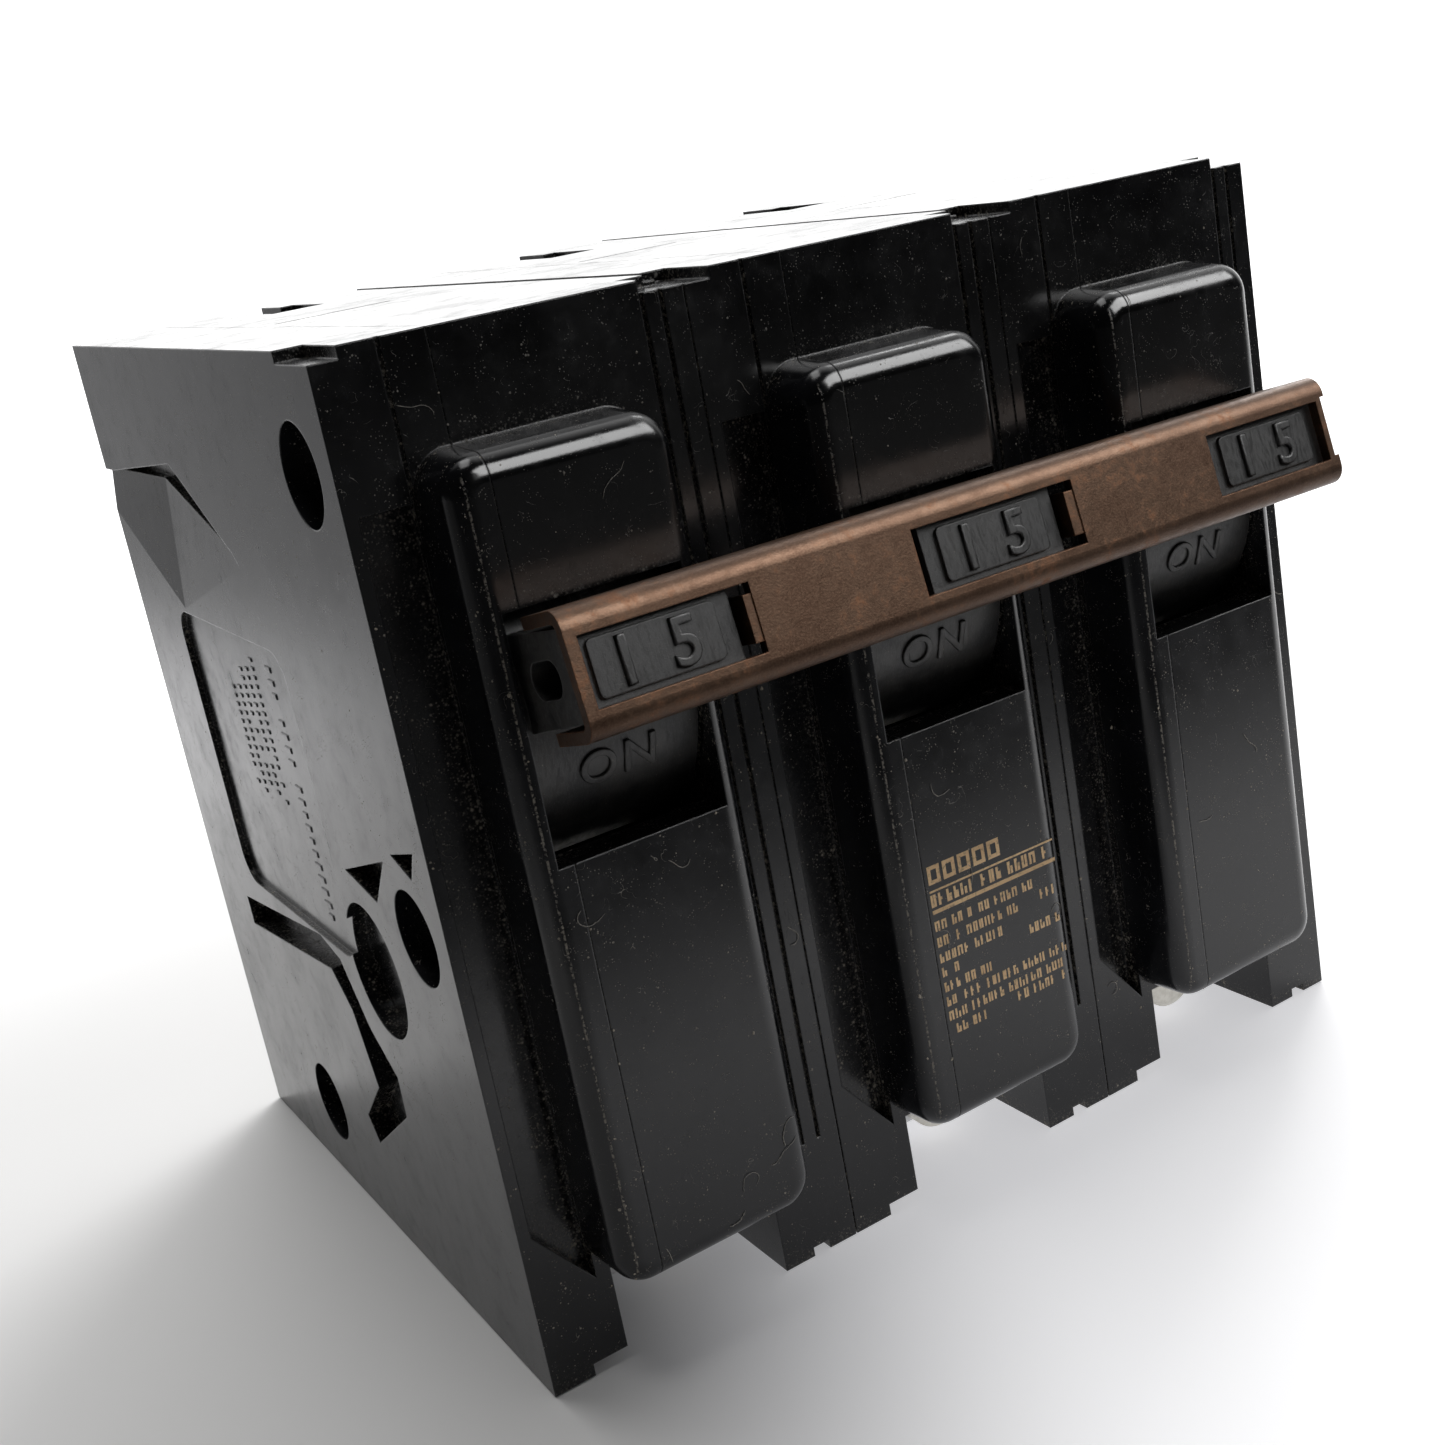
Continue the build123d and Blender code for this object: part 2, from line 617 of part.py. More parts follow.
with BuildPart() as terminal_lug:
    box_between((lug_left, lug_right), (lug_front, lug_back), (lug_low, lug_high))
    chamfer(terminal_lug.edges().filter_by(Axis.Y), 0.7)
    with BuildSketch(Plane.XY.offset(lug_low - 1)):
        with Locations((mid_x, case_front + wire_depth)):
            Circle(wire_radius)
    extrude(amount=lug_high - lug_low + 2, mode=Mode.SUBTRACT)
    with BuildSketch(front_plane(wire_depth)):
        with Locations((mid_x, screw_height)):
            Circle(screw_radius + running_gap)
    extrude(amount=wire_depth - lug_front + 1, mode=Mode.SUBTRACT)

with BuildPart() as terminal_screw:
    screw_tip = pad_back - pad_thickness - 0.1
    with BuildSketch(front_plane(screw_tip)):
        with Locations((mid_x, screw_height)):
            Circle(screw_radius)
    extrude(amount=screw_tip - screw_head_front - 1)
    with BuildSketch(front_plane(lug_front - 0.2)):
        with Locations((mid_x, screw_height)):
            Circle(screw_head_radius)
    extrude(amount=lug_front - 0.2 - screw_head_front)
    chamfer(terminal_screw.faces().sort_by(Axis.Y)[0].edges(), 0.35)
    box_between((mid_x - 4, mid_x + 4), (screw_head_front - 1, screw_head_front + 0.9),
                (screw_height - 0.45, screw_height + 0.45), mode=Mode.SUBTRACT)

with BuildPart() as pressure_pad:
    with BuildSketch(front_plane(pad_back)):
        with Locations((mid_x, screw_height)):
            Circle(screw_radius)
    extrude(amount=pad_thickness)

with BuildPart() as calibration_screw:
    with BuildSketch(front_plane(58.6)):
        with Locations((mid_x, 20.0)):
            Circle(1.5)
    extrude(amount=58.6 - 51.8)
    box_between((mid_x - 2, mid_x + 2), (57.9, 59), (19.75, 20.25), mode=Mode.SUBTRACT)

pole_pieces = {
    "handle": handle, "contact_arm": contact_arm, "moving_contact": moving_contact,
    "fixed_contact": fixed_contact, "line_jaw": line_jaw, "arc_plates": arc_plates,
    "cradle": cradle, "armature": armature, "toggle_spring": toggle_spring, "bimetal": bimetal,
    "magnet_yoke": magnet_yoke, "load_strap": load_strap, "flexible_braid": flexible_braid,
    "terminal_lug": terminal_lug, "terminal_screw": terminal_screw, "pressure_pad": pressure_pad,
}
for name, piece in pole_pieces.items():
    for pole in range(pole_count):
        write_piece(piece.part, f"{name}_{pole + 1}", pole_x(pole))

# ---------------------------------------------------------------- pieces shared by the poles

with BuildPart() as calibration_screws:
    for pole in range(pole_count):
        with Locations((pole_x(pole), 0, 0)):
            add(calibration_screw.part)
calibration_screws.part.label = "calibration_screws"
export_step(calibration_screws.part, "parts/calibration_screws.step")

with BuildPart() as jaw_springs:
    for pole in range(pole_count):
        with Locations((pole_x(pole), 0, 0)):
            add(jaw_spring.part)
jaw_springs.part.label = "jaw_springs"
export_step(jaw_springs.part, "parts/jaw_springs.step")

with BuildPart() as pivot_pins:
    for pole in range(pole_count):
        left = pole_x(pole)
        rod_between((left + 1.3, left + 24.1), arm_pivot, arm_pin_radius)
        rod_between((left + 1.3, left + 24.1), armature_pivot, armature_pin_radius)
        rod_between((left + cradle_left - 0.8, left + 24.1), cradle_pivot, arm_pin_radius)
pivot_pins.part.label = "pivot_pins"
export_step(pivot_pins.part, "parts/pivot_pins.step")

with BuildPart() as trip_bar:
    bar_ends = (case_left + 1.3, -case_left - 1.3)
    rod_between(bar_ends, trip_bar_centre, trip_bar_radius)
    for pole in range(pole_count):
        left = pole_x(pole)
        box_between((left + 9.0, left + 15.0), (39.0, 41.2), (trip_bar_centre[1], 47.2))
trip_bar.part.label = "trip_bar"
export_step(trip_bar.part, "parts/trip_bar.step")

with BuildPart() as long_rivets:
    head_seat = counterbore_depth - 0.02
    for centre in (upper_rivet, front_rivet, rear_rivet):
        rod_between((case_left + head_seat, -case_left - head_seat), centre, rivet_radius)
        rod_between((case_left + head_seat - 1.3, case_left + head_seat), centre, rivet_head_radius)
        rod_between((-case_left - head_seat, -case_left - head_seat + 1.3), centre, rivet_head_radius)
long_rivets.part.label = "long_rivets"
export_step(long_rivets.part, "parts/long_rivets.step")
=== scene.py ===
"""Looks of a three-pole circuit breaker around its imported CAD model."""

import random
from math import cos, pi, radians, sin

import bmesh
import bpy
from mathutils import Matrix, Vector
from mathutils.bvhtree import BVHTree


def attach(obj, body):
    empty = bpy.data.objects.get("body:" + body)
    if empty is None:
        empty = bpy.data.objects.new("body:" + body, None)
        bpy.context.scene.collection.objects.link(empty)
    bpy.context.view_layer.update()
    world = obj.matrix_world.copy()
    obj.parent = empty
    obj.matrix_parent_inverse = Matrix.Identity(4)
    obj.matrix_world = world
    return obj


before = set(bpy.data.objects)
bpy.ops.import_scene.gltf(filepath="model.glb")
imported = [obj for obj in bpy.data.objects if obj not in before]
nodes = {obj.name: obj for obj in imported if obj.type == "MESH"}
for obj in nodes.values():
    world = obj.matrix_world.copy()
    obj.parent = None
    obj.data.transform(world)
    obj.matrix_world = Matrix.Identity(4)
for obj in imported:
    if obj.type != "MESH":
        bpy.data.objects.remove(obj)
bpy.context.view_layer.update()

MM = 0.001
POLES = 3
PITCH = 25.4
CASE_LEFT = -38.1
CASE_FRONT = -23.503
BEZEL_FRONT = CASE_FRONT - 5.0
SEAM = 7.64
DUST_LEDGE = 5.95
DUST_REACH = 37.8
PIVOT_Y, PIVOT_Z = CASE_FRONT + 8.0, 47.0
ON_ANGLE = radians(13)
DRUM_RADIUS = 12.0
PAD_REACH = 20.6
HANDLE_MID = 12.7
FACE_SLACK = 0.6  # how far behind a face a hit still counts as on it
LETTER_ROOT = 0.04  # how deep lettering is sunk into its face

scene = bpy.context.scene


# ---------------------------------------------------------------- materials

class Look:
    """A node material. Each helper adds nodes and returns the socket with the result."""

    def __init__(self, name):
        self.material = bpy.data.materials.new(name)
        self.material.use_nodes = True
        self.tree = self.material.node_tree
        self.tree.nodes.clear()
        output = self.node("ShaderNodeOutputMaterial")
        self.shader = self.node("ShaderNodeBsdfPrincipled")
        self.link(self.shader.outputs[0], output.inputs[0])
        place = self.node("ShaderNodeTexCoord").outputs["Object"]
        self.mm = self.stretch(place, (1000, 1000, 1000))

    def node(self, kind, **settings):
        made = self.tree.nodes.new(kind)
        for key, value in settings.items():
            setattr(made, key, value)
        return made

    def link(self, source, target):
        if hasattr(source, "links"):
            self.tree.links.new(source, target)
        else:
            target.default_value = source

    def stretch(self, vector, factors):
        made = self.node("ShaderNodeVectorMath", operation="MULTIPLY")
        self.link(vector, made.inputs[0])
        made.inputs[1].default_value = factors
        return made.outputs[0]

    def noise(self, scale, detail=3.0, rough=0.55, vector=None, distortion=0.0):
        made = self.node("ShaderNodeTexNoise")
        self.link(vector or self.mm, made.inputs["Vector"])
        made.inputs["Scale"].default_value = scale
        made.inputs["Detail"].default_value = detail
        made.inputs["Roughness"].default_value = rough
        made.inputs["Distortion"].default_value = distortion
        return made.outputs["Fac"]

    def cells(self, scale, vector=None):
        made = self.node("ShaderNodeTexVoronoi")
        self.link(vector or self.mm, made.inputs["Vector"])
        made.inputs["Scale"].default_value = scale
        return made.outputs["Distance"]

    def step(self, value, low, high, to=(0.0, 1.0)):
        made = self.node("ShaderNodeMapRange", interpolation_type="SMOOTHSTEP")
        self.link(value, made.inputs["Value"])
        made.inputs["From Min"].default_value = low
        made.inputs["From Max"].default_value = high
        made.inputs["To Min"].default_value = to[0]
        made.inputs["To Max"].default_value = to[1]
        return made.outputs["Result"]

    def math(self, operation, a, b=0.0, clamp=False):
        made = self.node("ShaderNodeMath", operation=operation, use_clamp=clamp)
        self.link(a, made.inputs[0])
        self.link(b, made.inputs[1])
        return made.outputs[0]

    def wrap(self, value, low, high):
        made = self.node("ShaderNodeMath", operation="WRAP")
        self.link(value, made.inputs[0])
        made.inputs[1].default_value = low
        made.inputs[2].default_value = high
        return made.outputs[0]

    def mix(self, factor, a, b):
        made = self.node("ShaderNodeMix", data_type="RGBA")
        self.link(factor, made.inputs[0])
        for value, socket in ((a, made.inputs[6]), (b, made.inputs[7])):
            self.link(value if hasattr(value, "links") else (*value, 1.0), socket)
        return made.outputs[2]

    def soft_edges(self, radius):
        """Normal with rounded edges, and how near an edge a point is."""
        rounded = self.node("ShaderNodeBevel", samples=4)
        rounded.inputs["Radius"].default_value = radius * MM
        flat = self.node("ShaderNodeNewGeometry").outputs["Normal"]
        turn = self.node("ShaderNodeVectorMath", operation="DOT_PRODUCT")
        self.link(rounded.outputs[0], turn.inputs[0])
        self.link(flat, turn.inputs[1])
        edge = self.step(turn.outputs["Value"], 0.995, 0.82)
        return rounded.outputs[0], edge

    def crevice(self, distance):
        """How closed in a point is by what stands around it."""
        made = self.node("ShaderNodeAmbientOcclusion", samples=6)
        made.inputs["Distance"].default_value = distance * MM
        return self.step(made.outputs["AO"], 0.75, 0.25)

    def bump(self, height, size, normal=None):
        made = self.node("ShaderNodeBump")
        made.inputs["Strength"].default_value = 1.0
        made.inputs["Distance"].default_value = size * MM
        self.link(height, made.inputs["Height"])
        if normal is not None:
            self.link(normal, made.inputs["Normal"])
        return made.outputs[0]

    def set(self, **values):
        for name, value in values.items():
            self.link(value, self.shader.inputs[name.replace("_", " ")])


def black_plastic(name, tint, dust, haze, gloss, ledge=0.0):
    """Glossy moulded phenolic: fine scratches, dust specks, lint and a dull haze."""
    look = Look(name)
    normal, edge = look.soft_edges(0.16)
    cloud = look.noise(0.16, 4, 0.6)
    patch = look.noise(0.7, 3, 0.6)
    grain = look.noise(9, 2, 0.5)
    # hairline scratches: thin lines of a stretched noise, where a broad noise lets them through
    tilted = look.node("ShaderNodeMapping")
    tilted.inputs["Rotation"].default_value = (0.35, 0.6, 0.2)
    tilted.inputs["Scale"].default_value = (3.2, 1.2, 0.25)
    look.link(look.mm, tilted.inputs["Vector"])
    streak = look.noise(2.2, 2, 0.5, tilted.outputs[0])
    line = look.step(look.math("ABSOLUTE", look.math("SUBTRACT", streak, 0.5)), 0.008, 0.0)
    scratches = look.math("MULTIPLY", line, look.step(patch, 0.54, 0.74))
    # curly fibres: thin contour lines of a noise, broken into short lengths
    curl = look.noise(0.9, 1.5, 0.4, None, 0.6)
    thread = look.step(look.math("ABSOLUTE", look.math("SUBTRACT", curl, 0.53)), 0.0035, 0.001)
    fibres = look.math("MULTIPLY", thread, look.step(look.noise(0.55, 2), 0.60, 0.66))
    # specks: small round cells, few on the open faces and many in the recesses
    closed = look.crevice(3.5)
    few = look.step(look.noise(0.8, 2), 0.42, 0.7)
    amount = look.math("ADD", look.math("MULTIPLY", few, 0.10), look.math("MULTIPLY", closed, 0.17))
    amount = look.math("ADD", amount, 0.03)
    specks = look.math("LESS_THAN", look.cells(1.6), amount)
    fine = look.math("LESS_THAN", look.cells(4.5), look.math("MULTIPLY", amount, 1.7))
    dirt = look.math("MAXIMUM", specks, look.math("MULTIPLY", fine, 0.5))
    dirt = look.math("MAXIMUM", dirt, look.math("MULTIPLY", fibres, 0.7))
    film = look.math("MULTIPLY", closed, look.step(look.noise(2.5, 4, 0.65), 0.45, 0.75))
    dirt = look.math("MAXIMUM", dirt, look.math("MULTIPLY", film, 0.35))
    # dust caught along the left rounded edge of every pole's raised front
    place = look.node("ShaderNodeSeparateXYZ")
    world_place = look.node("ShaderNodeNewGeometry").outputs["Position"]
    look.link(look.stretch(world_place, (1000, 1000, 1000)), place.inputs[0])
    within = look.wrap(place.outputs["X"], CASE_LEFT, CASE_LEFT + PITCH)
    off = look.math("ABSOLUTE", look.math("SUBTRACT", within, CASE_LEFT + DUST_LEDGE))
    broken = look.step(look.noise(4.2, 4, 0.7), 0.46, 0.58)
    line = look.math("MULTIPLY", look.step(off, 0.11, 0.02), broken)
    line = look.math("MULTIPLY", line, look.step(place.outputs["Y"], BEZEL_FRONT + 0.5, BEZEL_FRONT + 0.2))
    dirt = look.math("MAXIMUM", dirt, look.math("MULTIPLY", line, ledge))
    dirt = look.math("MULTIPLY", dirt, dust, True)
    base = look.mix(look.step(cloud, 0.3, 0.7), tint, tuple(c * 1.7 for c in tint))
    base = look.mix(look.math("MULTIPLY", edge, haze), base, (0.045, 0.046, 0.050))
    base = look.mix(look.math("MULTIPLY", scratches, 0.3), base, (0.10, 0.10, 0.10))
    base = look.mix(dirt, base, (0.30, 0.27, 0.22))
    rough = look.math("ADD", look.step(cloud, 0.25, 0.75, (gloss, gloss + 0.13)),
                      look.step(patch, 0.4, 0.8, (0.0, 0.07)))
    rough = look.math("ADD", rough, look.math("MULTIPLY", edge, 0.10))
    rough = look.math("ADD", rough, look.math("MULTIPLY", dirt, 0.6), True)
    height = look.math("ADD", look.math("MULTIPLY", grain, 0.25), look.math("MULTIPLY", dirt, 1.2))
    height = look.math("SUBTRACT", height, look.math("MULTIPLY", scratches, 0.4))
    height = look.math("ADD", height, look.math("MULTIPLY", patch, 0.2))
    look.set(Base_Color=base, Roughness=rough, Normal=look.bump(height, 0.010, normal), IOR=1.5,
             Specular_IOR_Level=0.38)
    return look.material


def rusty_steel(name):
    """Thin sheet gone brown: worn lighter in the middle, orange rust at cut edges and bends."""
    look = Look(name)
    normal, edge = look.soft_edges(0.12)
    broad = look.noise(0.22, 4, 0.6)
    mottle = look.noise(1.6, 5, 0.65)
    grit = look.noise(7, 3, 0.6)
    rust = look.step(look.math("ADD", look.math("MULTIPLY", mottle, 0.5),
                               look.math("MULTIPLY", broad, 0.6)), 0.56, 0.78)
    near = look.math("MULTIPLY", edge, look.step(mottle, 0.35, 0.6))
    rust = look.math("MAXIMUM", look.math("MULTIPLY", rust, 0.5), near, True)
    base = look.mix(look.step(broad, 0.3, 0.7), (0.050, 0.027, 0.017), (0.074, 0.045, 0.030))
    base = look.mix(look.step(grit, 0.35, 0.7, (0.0, 0.5)), base, (0.105, 0.066, 0.044))
    scale = look.mix(look.step(grit, 0.3, 0.7), (0.135, 0.052, 0.022), (0.26, 0.105, 0.043))
    base = look.mix(rust, base, scale)
    base = look.mix(look.math("LESS_THAN", look.cells(2.6), 0.06), base, (0.06, 0.035, 0.022))
    rough = look.math("ADD", look.step(mottle, 0.3, 0.7, (0.38, 0.48)),
                      look.math("MULTIPLY", rust, 0.3), True)
    shine = look.step(rust, 0.0, 1.0, (0.70, 0.10))
    height = look.math("ADD", look.math("MULTIPLY", mottle, 0.35), look.math("MULTIPLY", grit, 0.45))
    look.set(Base_Color=base, Roughness=rough, Metallic=shine, Normal=look.bump(height, 0.025, normal),
             Specular_IOR_Level=0.1)
    return look.material


def metal(name, colour, worn, rough, brush=(1, 1, 1), stain=None, edges=0.08):
    """Metal with a brushed grain, uneven polish and a stain in patches."""
    look = Look(name)
    normal, edge = look.soft_edges(edges)
    broad = look.noise(0.35, 4, 0.6)
    grain = look.noise(1.0, 3, 0.6, look.stretch(look.mm, brush))
    base = look.mix(look.step(grain, 0.3, 0.7), colour, worn)
    base = look.mix(look.step(broad, 0.45, 0.75, (0.0, 0.75)), base, stain or tuple(c * 0.55 for c in colour))
    base = look.mix(look.math("MULTIPLY", edge, 0.35), base, tuple(min(1.0, c * 1.25) for c in worn))
    roughness = look.math("ADD", look.step(grain, 0.2, 0.8, (rough, rough + 0.12)),
                          look.step(broad, 0.4, 0.8, (0.0, 0.18)), True)
    look.set(Base_Color=base, Roughness=roughness, Metallic=1.0,
             Normal=look.bump(grain, 0.012, normal))
    return look.material


def brushed_black(name):
    """The handles: the case's phenolic, dulled and scratched by fingers, with a painted highlight on the
    edges.
    """
    look = Look(name)
    normal, edge = look.soft_edges(0.14)
    broad = look.noise(0.4, 4, 0.6)
    streak = look.noise(1.0, 3, 0.65, look.stretch(look.mm, (5.5, 1.4, 1.1)))
    fine = look.noise(11, 2, 0.5)
    speck = look.math("LESS_THAN", look.cells(2.2), look.step(broad, 0.4, 0.8, (0.02, 0.17)))
    lines = look.step(look.math("ABSOLUTE", look.math("SUBTRACT", streak, 0.5)), 0.03, 0.0)
    base = look.mix(look.step(broad, 0.3, 0.7), (0.015, 0.015, 0.016), (0.040, 0.038, 0.035))
    base = look.mix(look.math("MULTIPLY", lines, 0.4), base, (0.10, 0.10, 0.10))
    # painted highlight: the edges and the digits' outlines are painted light grey
    base = look.mix(look.math("MULTIPLY", edge, 0.7), base, (0.24, 0.235, 0.23))
    base = look.mix(look.math("MULTIPLY", speck, 0.6), base, (0.26, 0.23, 0.19))
    rough = look.math("ADD", look.step(streak, 0.3, 0.7, (0.34, 0.50)),
                      look.math("MULTIPLY", speck, 0.3), True)
    height = look.math("ADD", look.math("MULTIPLY", streak, 0.5), look.math("MULTIPLY", fine, 0.3))
    look.set(Base_Color=base, Roughness=rough, Normal=look.bump(height, 0.02, normal), IOR=1.5,
             Specular_IOR_Level=0.38)
    return look.material


def worn_print():
    """Gilt ink, thin and rubbed through in places."""
    look = Look("gilt_print")
    wear = look.noise(3.2, 4, 0.7)
    broad = look.noise(0.5, 3, 0.5)
    base = look.mix(look.step(broad, 0.3, 0.7), (0.62, 0.40, 0.19), (0.78, 0.53, 0.27))
    base = look.mix(look.step(wear, 0.52, 0.68, (0.0, 0.6)), base, (0.05, 0.038, 0.026))
    look.set(Base_Color=base, Roughness=look.step(wear, 0.3, 0.7, (0.35, 0.55)), Metallic=0.1,
             Normal=look.bump(wear, 0.01))
    return look.material


def dusty(name, light, dark):
    """Lint and crumbs."""
    look = Look(name)
    mottle = look.noise(5, 3, 0.6)
    base = look.mix(look.step(mottle, 0.35, 0.65), dark, light)
    look.set(Base_Color=base, Roughness=look.step(mottle, 0.3, 0.7, (0.75, 0.95)),
             Normal=look.bump(mottle, 0.03))
    return look.material


MATERIALS = {
    "case": black_plastic("case_phenolic", (0.0048, 0.0050, 0.0060), 0.9, 0.55, 0.11, 0.8),
    "handle": brushed_black("handle_phenolic"),
    "tie_steel": rusty_steel("tie_oxidised_steel"),
    "copper": metal("copper_parts", (0.72, 0.36, 0.22), (0.83, 0.46, 0.30),
                    0.28, (1, 1, 4), (0.30, 0.15, 0.09)),
    "silver": metal("silver_contacts", (0.78, 0.77, 0.74), (0.88, 0.87, 0.84),
                    0.25, (3, 3, 3), (0.35, 0.32, 0.28)),
    "steel": metal("plated_steel", (0.52, 0.53, 0.55), (0.66, 0.67, 0.68),
                   0.30, (1, 5, 1), (0.28, 0.26, 0.24)),
    "spring_steel": metal("spring_wire", (0.45, 0.45, 0.46), (0.60, 0.60, 0.61),
                          0.26, (2, 2, 2), None, 0.03),
    "bimetal": metal("bimetal_strip", (0.58, 0.56, 0.52), (0.70, 0.68, 0.63),
                     0.30, (5, 1, 1), (0.36, 0.27, 0.19)),
    "lug": metal("tinned_lug", (0.66, 0.67, 0.68), (0.78, 0.79, 0.80),
                 0.33, (1, 1, 4), (0.40, 0.39, 0.37)),
    "screw": metal("zinc_screw", (0.60, 0.58, 0.52), (0.74, 0.72, 0.66),
                   0.30, (2, 2, 2), (0.34, 0.28, 0.19)),
    "brass": metal("brass_screw", (0.72, 0.53, 0.26), (0.85, 0.66, 0.36),
                   0.28, (2, 2, 2), (0.36, 0.24, 0.11)),
    "trip_bar": black_plastic("trip_bar_plastic", (0.060, 0.030, 0.020), 0.4, 0.4, 0.30),
    "rivet": metal("steel_rivet", (0.46, 0.45, 0.43), (0.62, 0.61, 0.59),
                   0.34, (4, 1, 1), (0.26, 0.17, 0.11)),
}

NODE_SLOTS = {
    "case_cover": "case", "case_base": "case", "handle_tie": "tie_steel", "handle": "handle",
    "contact_arm": "copper", "moving_contact": "silver", "fixed_contact": "silver",
    "line_jaw": "copper", "jaw_springs": "spring_steel", "arc_plates": "steel", "cradle": "steel",
    "armature": "steel", "toggle_spring": "spring_steel", "bimetal": "bimetal",
    "magnet_yoke": "steel", "load_strap": "copper", "flexible_braid": "copper",
    "terminal_lug": "lug", "terminal_screw": "screw", "pressure_pad": "steel",
    "calibration_screws": "brass", "pivot_pins": "steel", "trip_bar": "trip_bar",
    "long_rivets": "rivet",
}


def woven_copper():
    """Braid of fine tinned copper strands, with painted shade in the gaps between them."""
    look = Look("copper_braid")
    normal, _ = look.soft_edges(0.08)
    strands = []
    for angle in (0.9, -0.9):
        turned = look.node("ShaderNodeMapping")
        turned.inputs["Rotation"].default_value = (angle, 0.3, 0)
        look.link(look.mm, turned.inputs["Vector"])
        wave = look.node("ShaderNodeTexWave", bands_direction="Y")
        wave.inputs["Scale"].default_value = 1.5
        look.link(turned.outputs[0], wave.inputs["Vector"])
        strands.append(wave.outputs["Fac"])
    weave_and_gap_shade = look.math("MAXIMUM", *strands)
    # painted shade: the gaps between the strands are painted dark
    base = look.mix(weave_and_gap_shade, (0.16, 0.07, 0.04), (0.80, 0.44, 0.28))
    base = look.mix(look.step(look.noise(0.5, 3), 0.45, 0.7, (0.0, 0.6)), base, (0.33, 0.18, 0.12))
    look.set(Base_Color=base, Roughness=look.step(weave_and_gap_shade, 0, 1, (0.55, 0.32)), Metallic=1.0,
             Normal=look.bump(weave_and_gap_shade, 0.08, normal))
    return look.material


braid = woven_copper()
for name, thing in nodes.items():
    prefix = name.rstrip("0123456789").rstrip("_")
    finish = braid if prefix == "flexible_braid" else MATERIALS[NODE_SLOTS[prefix]]
    thing.data.materials.clear()
    thing.data.materials.append(finish)


# ---------------------------------------------------------------- small pieces

def mesh_piece(name, mesh, material, body):
    thing = bpy.data.objects.new(name, mesh)
    scene.collection.objects.link(thing)
    mesh.materials.clear()
    mesh.materials.append(material)
    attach(thing, body)
    return thing


def lettering(text, height, depth, spacing=1.0):
    """Raised characters centred on the origin, standing up from z = 0, as a closed mesh in mm."""
    curve = bpy.data.curves.new("lettering", "FONT")
    curve.body = text
    curve.size = 10.0
    curve.space_character = spacing
    curve.extrude = 0.5
    curve.bevel_depth = 0.22
    curve.bevel_resolution = 1
    curve.resolution_u = 5
    holder = bpy.data.objects.new("lettering", curve)
    scene.collection.objects.link(holder)
    mesh = bpy.data.meshes.new_from_object(holder)
    bpy.data.objects.remove(holder)
    low = Vector([min(v.co[i] for v in mesh.vertices) for i in range(3)])
    high = Vector([max(v.co[i] for v in mesh.vertices) for i in range(3)])
    scale = height / (high.y - low.y)
    mid = (low + high) / 2
    for vertex in mesh.vertices:
        x, y, z = vertex.co - mid
        vertex.co = (x * scale, y * scale, depth * max(0.0, z) / (high.z - mid.z))
    made = bmesh.new()
    made.from_mesh(mesh)
    bmesh.ops.remove_doubles(made, verts=made.verts, dist=0.001)
    bmesh.ops.dissolve_degenerate(made, edges=made.edges, dist=0.001)
    bmesh.ops.recalc_face_normals(made, faces=made.faces)
    made.to_mesh(mesh)
    made.free()
    return mesh


def pole_x(pole, local):
    return CASE_LEFT + PITCH * pole + local


up = Vector((0, sin(ON_ANGLE), cos(ON_ANGLE)))
out = Vector((0, -cos(ON_ANGLE), sin(ON_ANGLE)))
pivot = Vector((0, PIVOT_Y, PIVOT_Z))


def on_pad(mesh, x, sink):
    """Lay lettering on the raised pad at the handle's end."""
    for vertex in mesh.vertices:
        u, v, w = vertex.co
        place = pivot + out * (PAD_REACH - sink + w) + up * v
        vertex.co = Vector((x + u, place.y, place.z)) * MM


def on_drum(mesh, x, angle, sink):
    """Wrap lettering round the handle's drum."""
    for vertex in mesh.vertices:
        u, v, w = vertex.co
        turn = angle + v / DRUM_RADIUS
        reach = DRUM_RADIUS - sink + w
        vertex.co = Vector((x + u, PIVOT_Y - reach * cos(turn), PIVOT_Z + reach * sin(turn))) * MM


for pole in range(POLES):
    x = pole_x(pole, HANDLE_MID)
    digits = lettering("15", 3.1, 0.34, 1.9)
    on_pad(digits, x + 0.1, LETTER_ROOT)
    mesh_piece(f"rating_digits_{pole + 1}", digits, MATERIALS["handle"], "handles")
    for word, angle, height in (("ON", -19.5, 2.5), ("OFF", 33.6, 1.6)):
        mark = lettering(word, height, 0.24, 1.2)
        on_drum(mark, x, radians(angle), LETTER_ROOT)
        mesh_piece(f"{word.lower()}_mark_{pole + 1}", mark, MATERIALS["handle"], "handles")


def slab(made, x0, x1, z0, z1, y, thick):
    """Thin block standing proud of the plane y, towards the front, in mm."""
    corners = [(x, yy, z) for yy in (y, y - thick) for x, z in ((x0, z0), (x1, z0), (x1, z1), (x0, z1))]
    verts = [made.verts.new(Vector(c) * MM) for c in corners]
    for face in ((3, 2, 1, 0), (4, 5, 6, 7), (0, 1, 5, 4), (1, 2, 6, 5), (2, 3, 7, 6), (3, 0, 4, 7)):
        made.faces.new([verts[i] for i in face])


